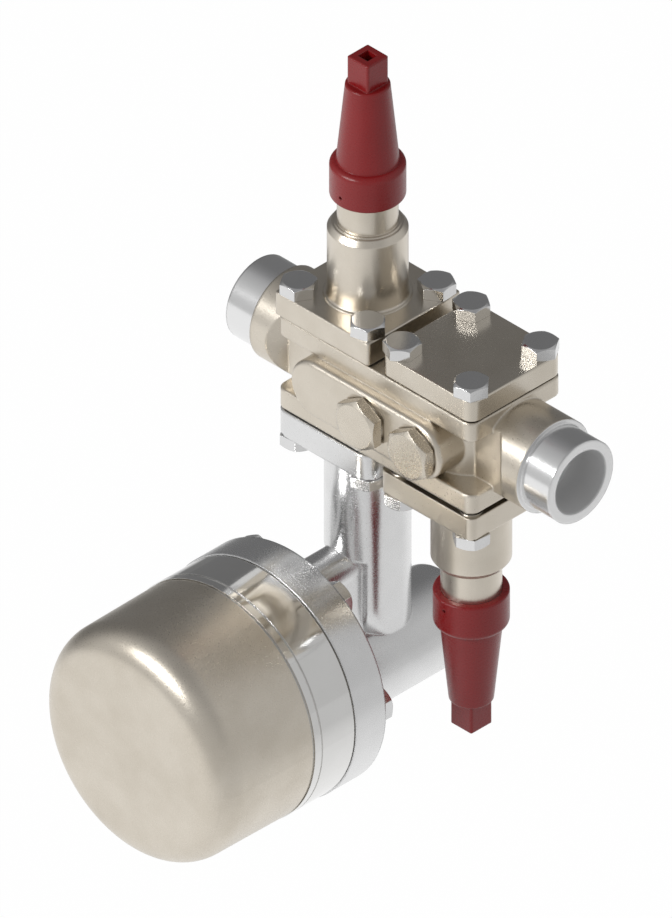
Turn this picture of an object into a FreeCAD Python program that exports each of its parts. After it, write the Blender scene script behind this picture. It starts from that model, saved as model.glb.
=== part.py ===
# Four port valve station for a refrigeration pipeline: a cast housing in the line,
# a stop valve on top, a stop valve underneath, a check valve under a plain cover
# and a float drain that hangs below on two riser tubes.
# Millimetres. The origin is the centre of the inlet pipe end, +X runs along the
# pipe towards the outlet, +Z is up and the float chamber points to -Y.
import FreeCAD, Part
import math
import os
import re
import Sketcher

# Driving sizes: alias, value, meaning.
SIZES = [
    ("face_to_face", 210, "length between the two pipe ends"),
    ("axis_spacing", 67.5, "distance between the two port axes"),
    ("pipe_radius", 21.2, "outside of the weld end, 42.4 mm pipe"),
    ("pipe_bore_radius", 16.3, "bore of the weld end"),
    ("pipe_end_length", 18, "machined length of the weld end"),
    ("stub_step", 1.7, "port face down to the cast stub"),
    ("housing_half", 25.5, "pipe axis to the upper and lower port faces"),
    ("ledge_height", 10.5, "thickness of the two port ledges"),
    ("ledge_reach", 30, "port axis to the outside of a ledge"),
    ("ledge_corner", 5.5, "corner radius of the ledges"),
    ("core_radius", 24.2, "cast wall round each port axis"),
    ("core_half", 27, "half width of the cast core between the axes"),
    ("neck_half", 16, "half width of the neck between core and stub"),
    ("neck_length", 35.35, "port axis to where the neck widens"),
    ("belt_radius", 15, "half height of the front belt"),
    ("belt_reach", 36, "pipe axis to the front face of the belt"),
    ("belt_rounding", 2.5, "rounded edge of the belt"),
    ("chamber_radius", 17.5, "valve chambers in the housing"),
    ("seat_level", 5, "pipe axis plane to a valve seat"),
    ("seat_radius", 9, "bore of a valve seat"),
    ("seat_depth", 8, "length of the seat bore"),
    ("passage_radius", 11, "bore from a weld end to its chamber"),
    ("gallery_radius", 3.5, "drilled return gallery"),
    ("gallery_y", 14.5, "return gallery behind the pipe axis"),
    ("gallery_drop", 10.5, "lower gallery below the pipe axis"),
    ("gallery_rise", 18.5, "upper gallery above the pipe axis"),
    ("gasket_thickness", 0.8, "flat joint under every cover"),
    ("gasket_margin", 1.2, "gasket edge inside the flange edge"),
    ("running_gap", 0.06, "radial clearance of a running fit"),
    ("edge_break", 0.8, "rounded outline of ledges, flanges and covers"),
    ("bolt_radius", 5, "M10 cover bolt"),
    ("bolt_flats", 16, "width across flats of the bolt head"),
    ("bolt_head", 6.4, "height of the bolt head"),
    ("bolt_square", 45, "spacing of the four cover bolts"),
    ("bolt_play", 0.5, "radial play of a bolt in its cover hole"),
    ("bolt_grip", 8.5, "bolt length in the housing"),
    ("bolt_point", 0.8, "pointed end of a bolt"),
    ("bolt_room", 1, "drilled hole beyond the end of its bolt"),
    ("inlet_flange", 61, "square flange of the upper stop valve"),
    ("inlet_corner", 2, "corner radius of that flange"),
    ("outlet_flange", 60, "square flange of the lower stop valve"),
    ("outlet_corner", 4, "corner radius of that flange"),
    ("outlet_gap", 2.5, "open joint round the lower flange"),
    ("bonnet_plate", 12.2, "thickness of a bonnet flange"),
    ("register_radius", 15.5, "opening edge of the sealing register"),
    ("register_width", 5.5, "width of the sealing register"),
    ("bonnet_radius", 18.9, "bonnet body"),
    ("bonnet_height", 53, "port face to the bonnet shoulder"),
    ("bonnet_bevel", 3, "bevel of the bonnet shoulder"),
    ("casting_fillet", 1.3, "fillet at the foot of the bonnet"),
    ("foot_ring", 1.7, "width of the low ring round that foot"),
    ("foot_rise", 0.5, "height of that ring"),
    ("collar_width", 1.3, "step round the neck on the bonnet shoulder"),
    ("collar_height", 0.7, "height of that step"),
    ("neck_radius", 14.3, "threaded neck under the cap"),
    ("neck_top", 84, "port face to the end of the neck"),
    ("thread_bore", 8, "spindle thread"),
    ("thread_start", 4, "port face to the spindle thread, valve open"),
    ("thread_length", 22, "length of the spindle thread"),
    ("shank_radius", 6, "smooth spindle shank"),
    ("shank_length", 64, "smooth shank above the spindle thread"),
    ("square_side", 8.2, "driving square of the spindle"),
    ("square_length", 13, "length of the driving square"),
    ("valve_lift", 8, "stroke of a stop valve"),
    ("cone_radius", 13, "valve cone"),
    ("cone_height", 12.5, "height of the valve cone"),
    ("cone_neck", 4, "spindle groove that carries the cone"),
    ("cone_tip", 6, "spindle tip inside the cone"),
    ("cone_floor", 2, "face of the cone to the spindle tip"),
    ("tip_height", 4, "height of the spindle tip"),
    ("cone_play", 0.2, "play of the cone on the spindle tip"),
    ("cone_rim", 0.5, "rim of the cone outside the soft ring"),
    ("cone_bevel", 3, "bevelled back of the cone"),
    ("seal_width", 3.5, "soft ring in the cone face"),
    ("seal_height", 3, "height of the soft ring"),
    ("packing_radius", 10, "packing chamber in the neck"),
    ("packing_foot", 56, "port face to the packing"),
    ("packing_height", 10, "height of the packing"),
    ("gland_height", 18, "height of the gland nut"),
    ("cap_foot", 69, "port face to the open edge of the cap"),
    ("skirt_radius", 17.85, "skirt of the seal cap"),
    ("skirt_height", 19.1, "height of the skirt"),
    ("cap_shoulder", 3, "rounding of the skirt"),
    ("cap_foot_radius", 14.75, "cone of the cap at the skirt"),
    ("cap_neck_radius", 10.5, "cone of the cap at the square"),
    ("cap_cone_height", 42.9, "height of the cap's cone"),
    ("cap_square", 13.8, "square on the cap"),
    ("cap_square_height", 14.9, "height of that square"),
    ("cap_square_rounding", 1.2, "rounded edges of that square"),
    ("cap_socket", 6.4, "square socket in the end of the cap"),
    ("cap_socket_depth", 8, "depth of that socket"),
    ("cap_cavity_radius", 9, "room for the spindle in the cap"),
    ("cap_cavity_top", 118, "port face to the end of that room"),
    ("washer_height", 2.4, "washer between neck and cap"),
    ("wire_hole_radius", 0.9, "seal wire hole in the skirt"),
    ("wire_hole_rise", 5.2, "open edge of the cap to that hole"),
    ("cover_size", 60, "plain square cover of the check valve"),
    ("cover_corner", 6, "corner radius of the plain cover"),
    ("cover_height", 11.7, "thickness of the plain cover"),
    ("cover_recess_radius", 10, "recess under the plain cover"),
    ("cover_recess", 5, "depth of that recess"),
    ("insert_level", 12, "pipe axis plane to the foot of the insert"),
    ("insert_cup", 9.5, "foot of the insert to its seat"),
    ("insert_floor", 3, "foot of the insert to its floor"),
    ("insert_web", 1, "thickness of that floor"),
    ("insert_mouth_radius", 12, "recess under the insert"),
    ("insert_cup_radius", 13, "cup above the insert's seat"),
    ("insert_groove", 3.5, "depth of the ring groove round the insert"),
    ("insert_way_in", 1.6, "radial holes from the groove"),
    ("insert_way_out", 1.8, "upright holes beside the seat"),
    ("insert_seat_radius", 5, "seat bore of the check valve"),
    ("disc_radius", 8, "check valve disc"),
    ("disc_height", 2.5, "thickness of that disc"),
    ("disc_lift", 3, "stroke of the check valve"),
    ("stem_radius", 2.5, "spring guide on the disc"),
    ("spring_radius", 4.2, "mean radius of the check valve spring"),
    ("spring_wire", 0.6, "radius of the spring wire"),
    ("spring_turns", 3.5, "turns of the check valve spring"),
    ("plug_flats", 24, "width across flats of a side plug"),
    ("plug_head", 7, "height of the plug head"),
    ("plug_thread", 8.5, "thread radius of a side plug"),
    ("plug_length", 12, "thread length of a side plug"),
    ("plug_washer", 1, "sealing washer of a side plug"),
    ("plug_bore", 4, "drilling behind a side plug"),
    ("drain_flange", 61.5, "square flange of the float drain"),
    ("drain_corner", 8, "corner radius of that flange"),
    ("drain_plate", 14.2, "thickness of that flange"),
    ("riser_radius", 10.4, "outside of a riser tube"),
    ("riser_bore", 7.5, "bore of a riser tube"),
    ("riser_offset", 13.85, "riser tube to the port axis"),
    ("web_half", 4, "half thickness of the cast webs"),
    ("neck_drop", 107, "pipe axis to the upper float connection"),
    ("connection_radius", 10.8, "outside of that connection"),
    ("connection_blend", 2.5, "fillet between front riser and connection"),
    ("float_drop", 144.4, "pipe axis to the float chamber axis"),
    ("barrel_over", 7, "lever pivot up to the barrel's axis"),
    ("barrel_radius", 24.3, "drain barrel"),
    ("barrel_end", 49.6, "port axis to the closed end of the barrel"),
    ("barrel_rounding", 6, "rounded closed end of the barrel"),
    ("barrel_bore", 16, "bore of the barrel"),
    ("barrel_floor", 8, "closed end wall of the barrel"),
    ("barrel_blend", 8, "fillet between riser tube and barrel"),
    ("seat_bore", 7, "opening of the barrel in the float flange"),
    ("float_flange_radius", 62, "round flange of the float chamber"),
    ("float_flange_back", 50.1, "port axis to the back of that flange"),
    ("float_flange_face", 69.3, "port axis to the face of that flange"),
    ("float_bolt_inset", 9.5, "edge of the float flange to its bolts"),
    ("ring_step", 0.6, "edge of the float flange to the clamp ring"),
    ("ring_wall", 17.4, "width of the clamp ring where it is thick"),
    ("ring_length", 18, "thick part of the clamp ring, along its axis"),
    ("ring_shoulder", 2, "taper behind the thick part"),
    ("ring_grip", 10.5, "bolt length in the clamp ring"),
    ("groove_place", 4, "end of the clamp ring to its groove"),
    ("groove_width", 1, "width of that groove"),
    ("groove_depth", 0.6, "depth of that groove"),
    ("spigot_length", 3, "spigot of the clamp ring in the cover"),
    ("ring_end", 95.5, "port axis to the end of the clamp ring"),
    ("seam_width", 1, "open seam between ring and cover"),
    ("seam_depth", 1.2, "depth of that seam"),
    ("dome_step", 1, "edge of the float flange to the chamber cover"),
    ("dome_taper", 0.7, "draft of the chamber cover"),
    ("dome_wall", 3.5, "wall of that cover"),
    ("dome_front", 156.5, "port axis to the front of the cover"),
    ("dome_rounding", 16, "rounded front edge of the cover"),
    ("ball_gap", 4, "float ball to the front of its chamber"),
    ("ball_room", 3, "lever pivot to the back of the float ball"),
    ("ball_wall", 1.2, "wall of the float ball"),
    ("ball_below", 8, "float chamber axis to the ball centre, at rest"),
    ("pivot_stand", 20.7, "float flange to the lever pivot"),
    ("pivot_rise", 16.4, "lowest line of the clamp ring's bore up to the lever pivot"),
    ("pin_radius", 2.5, "pivot pin"),
    ("hub_radius", 5, "hub of the float lever"),
    ("lever_half", 4, "half width of the float lever"),
    ("arm_half", 2, "half depth of the arm to the float ball"),
    ("short_arm_half", 1.3, "half depth of the arm to the nose"),
    ("lever_nose", 11, "pivot to the nose that drives the slide"),
    ("nose_radius", 2, "nose of the float lever"),
    ("nose_angle", 10, "angle of the nose above level, at rest"),
    ("slide_half", 9.4, "half width of the drain slide"),
    ("slide_height", 22, "height of the drain slide"),
    ("slide_plate", 3, "thickness of the drain slide"),
    ("slide_travel", 3.8, "stroke of the drain slide"),
    ("lug_height", 2, "height of the two lugs on the slide"),
    ("lug_play", 0.2, "play of the nose between the lugs"),
    ("orifice_radius", 1.8, "drain orifice"),
    ("seat_plate", 2.2, "plate of the drain seat"),
    ("seat_spigot", 8, "spigot of the drain seat in the float flange"),
    ("cheek_wall", 3, "cheeks of the lever bracket"),
    ("cheek_drop", 10.2, "lever pivot down to the bracket's floor"),
    ("cheek_rise", 6.8, "lever pivot up to the top of the bracket"),
    ("foot_reach", 10, "feet of the lever bracket"),
    ("foot_drop", 8, "lever pivot down to the lower edge of those feet"),
    ("foot_plate", 2.5, "thickness of those feet"),
    ("bracket_floor", 2, "thickness of the bracket's floor"),
    ("screw_radius", 2, "M4 screws of the lever bracket"),
    ("screw_grip", 6, "length of those screws in the flange"),
    ("screw_head", 2.5, "height of their heads"),
    ("screw_play", 0.2, "radial play of the screws in the feet"),
]

doc = FreeCAD.newDocument("valve_station")
sheet = doc.addObject("Spreadsheet::Sheet", "dim")
for row, (alias, value, meaning) in enumerate(SIZES, 1):
    sheet.set("A%d" % row, meaning)
    sheet.set("B%d" % row, str(value))
    sheet.setAlias("B%d" % row, alias)
doc.recompute()
ALIASES = [alias for alias, value, meaning in SIZES]

# Sizes that follow from the driving ones.
FOLLOWING = {
    "stub_radius": "housing_half - stub_step",
    "shank_top": "thread_start + thread_length + shank_length",
    "float_bolt_circle": "float_flange_radius - float_bolt_inset",
    "ring_radius": "float_flange_radius - ring_step",
    "ring_bore": "ring_radius - ring_wall",
    "dome_radius": "float_flange_radius - dome_step",
    "dome_end_radius": "dome_radius - dome_taper",
    "dome_inside": "dome_radius - dome_wall",
    "pivot_reach": "float_flange_face + pivot_stand",
    "pivot_below": "ring_bore - pivot_rise",
    "barrel_drop": "float_drop + pivot_below - barrel_over",
    "ball_radius": "(dome_front - dome_wall - ball_gap - pivot_reach - ball_room) / 2",
    "ball_reach": "pivot_reach + ball_room + ball_radius",
}

# Lines that many pieces share.
INLET_AXIS = "(face_to_face - axis_spacing) / 2"
OUTLET_AXIS = "(face_to_face + axis_spacing) / 2"
MIDDLE = "face_to_face / 2"
HUNDREDTH = "0.01"


# Helpers: expressions, primitives, sketches.
def full(text):
    """Work out the following sizes and write the sheet's name before each driving size."""
    def spelled(match):
        word = match.group(0)
        if word in FOLLOWING:
            return "(%s)" % full(FOLLOWING[word])
        return "dim." + word if word in ALIASES else word
    return re.sub(r"[a-z_]+", spelled, str(text))


def number(text):
    """The present value of an expression."""
    return float(sheet.evalExpression(full(text)))


def bind(thing, **sizes):
    for name, text in sizes.items():
        thing.setExpression(name, full(text))


def place(thing, x, y, z, turn=FreeCAD.Rotation()):
    thing.Placement = FreeCAD.Placement(FreeCAD.Vector(number(x), number(y), number(z)), turn)
    for letter, text in zip("xyz", (x, y, z)):
        thing.setExpression("Placement.Base." + letter, full(text))
    return thing


ALONG = {
    "X": FreeCAD.Rotation(FreeCAD.Vector(0, 1, 0), 90),
    "Y": FreeCAD.Rotation(FreeCAD.Vector(1, 0, 0), -90),
    "Z": FreeCAD.Rotation(),
}


def rod(name, along, radius, start, stop, first, second):
    """A cylinder from start to stop along one axis, at the two other coordinates."""
    part = doc.addObject("Part::Cylinder", name)
    bind(part, Radius=radius, Height="(%s) - (%s)" % (stop, start))
    where = {"X": (start, first, second), "Y": (first, start, second), "Z": (first, second, start)}
    return place(part, *where[along], ALONG[along])


def block(name, x_span, y_span, z_span):
    part = doc.addObject("Part::Box", name)
    bind(part, Length="(%s) - (%s)" % x_span[::-1], Width="(%s) - (%s)" % y_span[::-1],
         Height="(%s) - (%s)" % z_span[::-1])
    return place(part, x_span[0], y_span[0], z_span[0])


def ball(name, radius, x, y, z):
    part = doc.addObject("Part::Sphere", name)
    bind(part, Radius=radius)
    return place(part, x, y, z)


def mitre(name, radius, x, y, z):
    """The corner that an upright tube and a level tube of one radius share."""
    upright = rod(name + "_upright", "Z", radius, "%s - %s" % (z, radius), "%s + %s" % (z, radius), x, y)
    level = rod(name + "_level", "Y", radius, "%s - %s" % (y, radius), "%s + %s" % (y, radius), x, z)
    return common(name, upright, level)


def joined(name, *parts):
    whole = doc.addObject("Part::MultiFuse", name)
    whole.Shapes = list(parts)
    whole.Refine = True
    return whole


def cut(name, base, *tools):
    whole = doc.addObject("Part::Cut", name)
    whole.Base = base
    whole.Tool = tools[0] if len(tools) == 1 else joined(name + "_cuts", *tools)
    whole.Refine = True
    return whole


def common(name, first, second):
    whole = doc.addObject("Part::Common", name)
    whole.Base = first
    whole.Tool = second
    return whole


def grouped(name, parts):
    whole = doc.addObject("Part::Compound", name)
    whole.Links = list(parts)
    return whole


def copy_of(name, source, x, y, z, turn=FreeCAD.Rotation()):
    link = doc.addObject("App::Link", name)
    link.LinkedObject = source
    return place(link, x, y, z, turn)


def rounded(name, base, radius, chosen):
    """Round the edges of a finished shape that the test picks."""
    doc.recompute()
    size = number(radius)
    part = doc.addObject("Part::Fillet", name)
    part.Base = base
    part.Edges = [(i, size, size) for i, edge in enumerate(base.Shape.Edges, 1) if chosen(edge)]
    return part


def level_edge(axis, text):
    """A test for edges that lie at one level across an axis."""
    level = number(text)
    low = axis + "Min"
    high = axis + "Max"

    def chosen(edge):
        box = edge.BoundBox
        return abs(getattr(box, low) - level) < 0.01 and abs(getattr(box, high) - level) < 0.01
    return chosen


def ring_edge(radius, level):
    """A test for full or partial circles of one radius at one height."""
    size = number(radius)
    flat = level_edge("Z", level)

    def chosen(edge):
        return flat(edge) and isinstance(edge.Curve, Part.Circle) and abs(edge.Curve.Radius - size) < 0.01
    return chosen


def sketch_on(body, role, name):
    sketch = body.newObject("Sketcher::SketchObject", name)
    plane = [item for item in body.Origin.OriginFeatures if item.Role == role][0]
    sketch.AttachmentSupport = (plane, [""])
    sketch.MapMode = "FlatFace"
    return sketch


def polygon(sketch, corners):
    """A closed outline whose corners are given by expressions."""
    points = [FreeCAD.Vector(number(a), number(b), 0) for a, b in corners]
    total = len(points)
    for i in range(total):
        sketch.addGeometry(Part.LineSegment(points[i], points[(i + 1) % total]), False)
    for i in range(total):
        sketch.addConstraint(Sketcher.Constraint("Coincident", i, 2, (i + 1) % total, 1))
    for i, corner in enumerate(corners):
        for kind, value, text in zip(("DistanceX", "DistanceY"), points[i][0:2], corner):
            index = sketch.addConstraint(Sketcher.Constraint(kind, -1, 1, i, 1, value))
            sketch.setExpression("Constraints[%d]" % index, full(text))


def turned(name, outline):
    """A solid of revolution about Z from an outline of (radius, height) corners."""
    body = doc.addObject("PartDesign::Body", name)
    sketch = sketch_on(body, "XZ_Plane", name + "_outline")
    polygon(sketch, outline)
    turn = body.newObject("PartDesign::Revolution", name + "_turn")
    turn.Profile = sketch
    turn.ReferenceAxis = (sketch, ["V_Axis"])
    turn.Angle = 360
    return body


def dressed(body, kind, name, size, chosen):
    """Add a PartDesign fillet or chamfer on the edges that the test picks."""
    doc.recompute()
    base = body.Tip
    edges = ["Edge%d" % i for i, edge in enumerate(base.Shape.Edges, 1) if chosen(edge)]
    dress = body.newObject("PartDesign::" + kind, name)
    dress.Base = (base, edges)
    bind(dress, **{"Radius" if kind == "Fillet" else "Size": size})
    return body


def bar(name, y, z, half, width):
    """A flat bar across X, from the origin to a point (y, z)."""
    body = doc.addObject("PartDesign::Body", name)
    sketch = sketch_on(body, "YZ_Plane", name + "_outline")
    length = "hypot(%s; %s)" % (y, z)
    across = "(%s) * (%s) / %s" % (half, z, length)
    along = "(%s) * (%s) / %s" % (half, y, length)
    polygon(sketch, [(across, "0 - " + along), ("%s + %s" % (y, across), "%s - %s" % (z, along)),
                     ("%s - %s" % (y, across), "%s + %s" % (z, along)), ("0 - " + across, along)])
    pad = body.newObject("PartDesign::Pad", name + "_pad")
    pad.Profile = sketch
    pad.SideType = "Symmetric"
    bind(pad, Length="2 * (%s)" % width)
    return body


def upright_edge(edge):
    box = edge.BoundBox
    return box.XLength < 0.01 and box.YLength < 0.01


def plate(name, length, width, corner, bottom, top, x="0", y="0", broken=()):
    """A rectangular plate with rounded corners, its named outlines rounded too."""
    body = doc.addObject("PartDesign::Body", name)
    sketch = sketch_on(body, "XY_Plane", name + "_outline")
    left = "0 - (%s) / 2" % length
    right = "(%s) / 2" % length
    front = "0 - (%s) / 2" % width
    back = "(%s) / 2" % width
    polygon(sketch, [(left, front), (right, front), (right, back), (left, back)])
    pad = body.newObject("PartDesign::Pad", name + "_pad")
    pad.Profile = sketch
    bind(pad, Length="(%s) - (%s)" % (top, bottom))
    dressed(body, "Fillet", name + "_corners", corner, upright_edge)
    for end in broken:
        level = "0" if end == "bottom" else "(%s) - (%s)" % (top, bottom)
        dressed(body, "Fillet", "%s_%s_edge" % (name, end), "edge_break", level_edge("Z", level))
    return place(body, x, y, bottom)


def bolt(name, flats, head, shank, length):
    """A hexagon bolt with its seat at z = 0 and its shank pointing down."""
    prism = doc.addObject("Part::Prism", name + "_hexagon")
    prism.Polygon = 6
    bind(prism, Circumradius="(%s) / sqrt(3)" % flats, Height=head)
    blank = turned(name + "_blank", [("0", "0"), ("(%s) * 0.6" % flats, "0"),
                                     ("(%s) * 0.6" % flats, "(%s) - (%s) * 0.08" % (head, flats)),
                                     ("(%s) * 0.46" % flats, head), ("0", head)])
    top = common(name + "_head", prism, blank)
    end = "0 - (%s)" % length
    inside = "(%s) / 2" % head
    stem = turned(name + "_shank", [
        ("0", end), ("(%s) - bolt_point" % shank, end), (shank, end + " + bolt_point"), (shank, inside),
        ("0", inside)])
    return joined(name, top, stem)


def bolt_places():
    """The four corners of a cover's bolt square, from the port axis."""
    half = "bolt_square / 2"
    for turn, (x_sign, y_sign) in enumerate([("-", "-"), ("+", "-"), ("+", "+"), ("-", "+")]):
        yield turn, "%s %s" % (x_sign, half), "0 %s %s" % (y_sign, half)


def bolt_holes(name, axis, radius, bottom, top):
    holes = []
    for turn, x_step, y in bolt_places():
        holes.append(rod("%s_%d" % (name, turn), "Z", radius, bottom, top, "%s %s" % (axis, x_step), y))
    return joined(name, *holes)


def bolt_set(name, source, axis, level, downward, angles):
    """Four bolts in one group: the heads above the level, or below it when downward."""
    copies = []
    flip = FreeCAD.Rotation(FreeCAD.Vector(1, 0, 0), 180 if downward else 0)
    for turn, x_step, y in bolt_places():
        spin = FreeCAD.Rotation(FreeCAD.Vector(0, 0, 1), angles[turn])
        copies.append(copy_of("%s_%d" % (name, turn), source, "%s %s" % (axis, x_step), y, level,
                              spin.multiply(flip)))
    return grouped(name, copies)


NODES = {}


def node(name, thing):
    """Name a finished piece."""
    thing.Label = name
    NODES[name] = thing
    return thing


# Valve housing: one steel casting with two port ledges, weld ends and a front belt.
def from_middle(side, distance):
    return "%s %s (%s)" % (MIDDLE, side, distance)


def pipe_stub(name, side):
    """Neck, 45 degree shoulders, round stub and weld end on one side of the housing."""
    inner = "axis_spacing / 2"
    neck = "axis_spacing / 2 + neck_length"
    wide = "axis_spacing / 2 + neck_length + stub_radius - neck_half"
    face = "face_to_face / 2 - pipe_end_length"
    end = "face_to_face / 2"
    outline = [(inner, "0 - neck_half"), (neck, "0 - neck_half"), (wide, "0 - stub_radius"),
               (face, "0 - stub_radius"), (face, "stub_radius"), (wide, "stub_radius"),
               (neck, "neck_half"), (inner, "neck_half")]
    plan = doc.addObject("PartDesign::Body", name + "_plan")
    sketch = sketch_on(plan, "XY_Plane", name + "_plan_outline")
    polygon(sketch, [(from_middle(side, x), y) for x, y in outline])
    pad = plan.newObject("PartDesign::Pad", name + "_plan_pad")
    pad.Profile = sketch
    bind(pad, Length="2 * stub_radius")
    place(plan, "0", "0", "0 - stub_radius")
    spans = [(inner, face, "stub_radius"), (inner, end, "pipe_radius")]
    rods = []
    for index, (near, far, radius) in enumerate(spans):
        start, stop = (near, far) if side == "+" else (far, near)
        rods.append(rod("%s_%d" % (name, index), "X", radius, from_middle(side, start),
                        from_middle(side, stop), "0", "0"))
    stub = common(name + "_stub", rods[0], plan)
    weld_end = cut(name + "_weld_end", rods[1], block(
        name + "_weld_end_trim", span_of(side, "axis_spacing / 2 - 1", face), ("-60", "60"), ("-60", "60")))
    return [stub, weld_end]


def span_of(side, near, far):
    ends = (from_middle(side, near), from_middle(side, far))
    return ends if side == "+" else ends[::-1]


def housing():
    long = "axis_spacing + 2 * ledge_reach"
    wide = "2 * ledge_reach"
    under = "housing_half - ledge_height"
    solids = [
        plate("upper_ledge", long, wide, "ledge_corner", under, "housing_half", MIDDLE,
              broken=("top", "bottom")),
        plate("lower_ledge", long, wide, "ledge_corner", "0 - housing_half", "ledge_height - housing_half",
              MIDDLE, broken=("top", "bottom")),
        block("core", (INLET_AXIS, OUTLET_AXIS), ("0 - core_half", "core_half"),
              ("1 - housing_half", "housing_half - 1")),
    ]
    for name, axis in (("inlet", INLET_AXIS), ("outlet", OUTLET_AXIS)):
        solids.append(rod(name + "_core", "Z", "core_radius", "1 - housing_half", "housing_half - 1",
                          axis, "0"))
    belt = joined("belt_blank",
                  block("belt_middle", (INLET_AXIS, OUTLET_AXIS), ("0 - belt_reach", "0"),
                        ("0 - belt_radius", "belt_radius")),
                  rod("belt_inlet_end", "Y", "belt_radius", "0 - belt_reach", "0", INLET_AXIS, "0"),
                  rod("belt_outlet_end", "Y", "belt_radius", "0 - belt_reach", "0", OUTLET_AXIS, "0"))
    solids.append(rounded("belt", belt, "belt_rounding", level_edge("Y", "0 - belt_reach")))
    solids += pipe_stub("inlet", "-")
    solids += pipe_stub("outlet", "+")
    casting = joined("housing_casting", *solids)

    top = "housing_half + 1"
    bottom = "0 - housing_half - 1"
    spaces = []
    for name, side, axis in (("inlet", "-", INLET_AXIS), ("outlet", "+", OUTLET_AXIS)):
        mouth = span_of(side, "face_to_face / 2 - pipe_end_length - 4", "face_to_face / 2 + 1")
        way = span_of(side, "axis_spacing / 2 + chamber_radius - 2", "face_to_face / 2 - pipe_end_length")
        spaces.append(rod(name + "_bore", "X", "pipe_bore_radius", *mouth, "0", "0"))
        spaces.append(rod(name + "_way", "X", "passage_radius", *way, "0", "0"))
        spaces.append(bolt_holes(name + "_upper_threads", axis, "bolt_radius + running_gap",
                                 "housing_half - bolt_grip - bolt_room", top))
        spaces.append(bolt_holes(name + "_lower_threads", axis, "bolt_radius + running_gap",
                                 bottom, "bolt_grip + bolt_room - housing_half"))
    spaces += [
        rod("inlet_chamber", "Z", "chamber_radius", "0 - seat_level", top, INLET_AXIS, "0"),
        rod("inlet_seat", "Z", "seat_radius", "0 - seat_level - seat_depth", "0", INLET_AXIS, "0"),
        rod("supply_port", "Z", "riser_bore", bottom, "0 - seat_level - seat_depth / 2", INLET_AXIS,
            "0 - riser_offset"),
        rod("return_port", "Z", "riser_bore - 1.5", bottom, "0 - seat_level - seat_depth - 3", INLET_AXIS,
            "riser_offset"),
        rod("return_rise", "Z", "gallery_radius", bottom, "0 - gallery_drop", INLET_AXIS, "gallery_y"),
        rod("lower_gallery", "X", "gallery_radius", INLET_AXIS, MIDDLE, "gallery_y", "0 - gallery_drop"),
        rod("gallery_rise_bore", "Z", "gallery_radius", "0 - gallery_drop", "gallery_rise", MIDDLE,
            "gallery_y - 1.5"),
        rod("upper_gallery", "X", "gallery_radius", MIDDLE, OUTLET_AXIS + " - chamber_radius / 2",
            "gallery_y - 1.5", "gallery_rise"),
        rod("check_chamber", "Z", "chamber_radius", "insert_level", top, OUTLET_AXIS, "0"),
        rod("outlet_seat", "Z", "seat_radius", "0", "insert_level + 1", OUTLET_AXIS, "0"),
        rod("outlet_chamber", "Z", "chamber_radius", bottom, "seat_level", OUTLET_AXIS, "0"),
    ]
    plug_places = (("service", MIDDLE, "gallery_y"), ("outlet_side", OUTLET_AXIS, "0 - chamber_radius / 2"))
    for name, x, inner in plug_places:
        spaces.append(rod(name + "_thread", "Y", "plug_thread + running_gap", "0 - belt_reach - 1",
                          "plug_length + bolt_room - belt_reach", x, "0"))
        spaces.append(rod(name + "_drilling", "Y", "plug_bore", "plug_length - belt_reach", inner, x, "0"))
    node("valve_housing", cut("housing", casting, *spaces))


housing()


# Stop valves: the same bonnet, spindle, cone, packing and seal cap above and below.
# Each is drawn with its port face at z = 0 and its cap on top.
BOLT_LENGTH = "bolt_grip + gasket_thickness + bonnet_plate"
cover_bolt = bolt("cover_bolt", "bolt_flats", "bolt_head", "bolt_radius", BOLT_LENGTH)


def gasket(name, size, corner, axis, opening):
    """A flat gasket on a port face, open in the middle and at the bolts."""
    side = "%s - 2 * gasket_margin" % size
    sheet_metal = plate(name + "_sheet", side, side, corner, "0", "gasket_thickness")
    holes = []
    for turn, x_step, y in bolt_places():
        holes.append(rod("%s_bolt_%d" % (name, turn), "Z", "bolt_radius + bolt_play", "-1", "2",
                         "0 " + x_step, y))
    return cut(name, sheet_metal, *opening, *holes)


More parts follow.
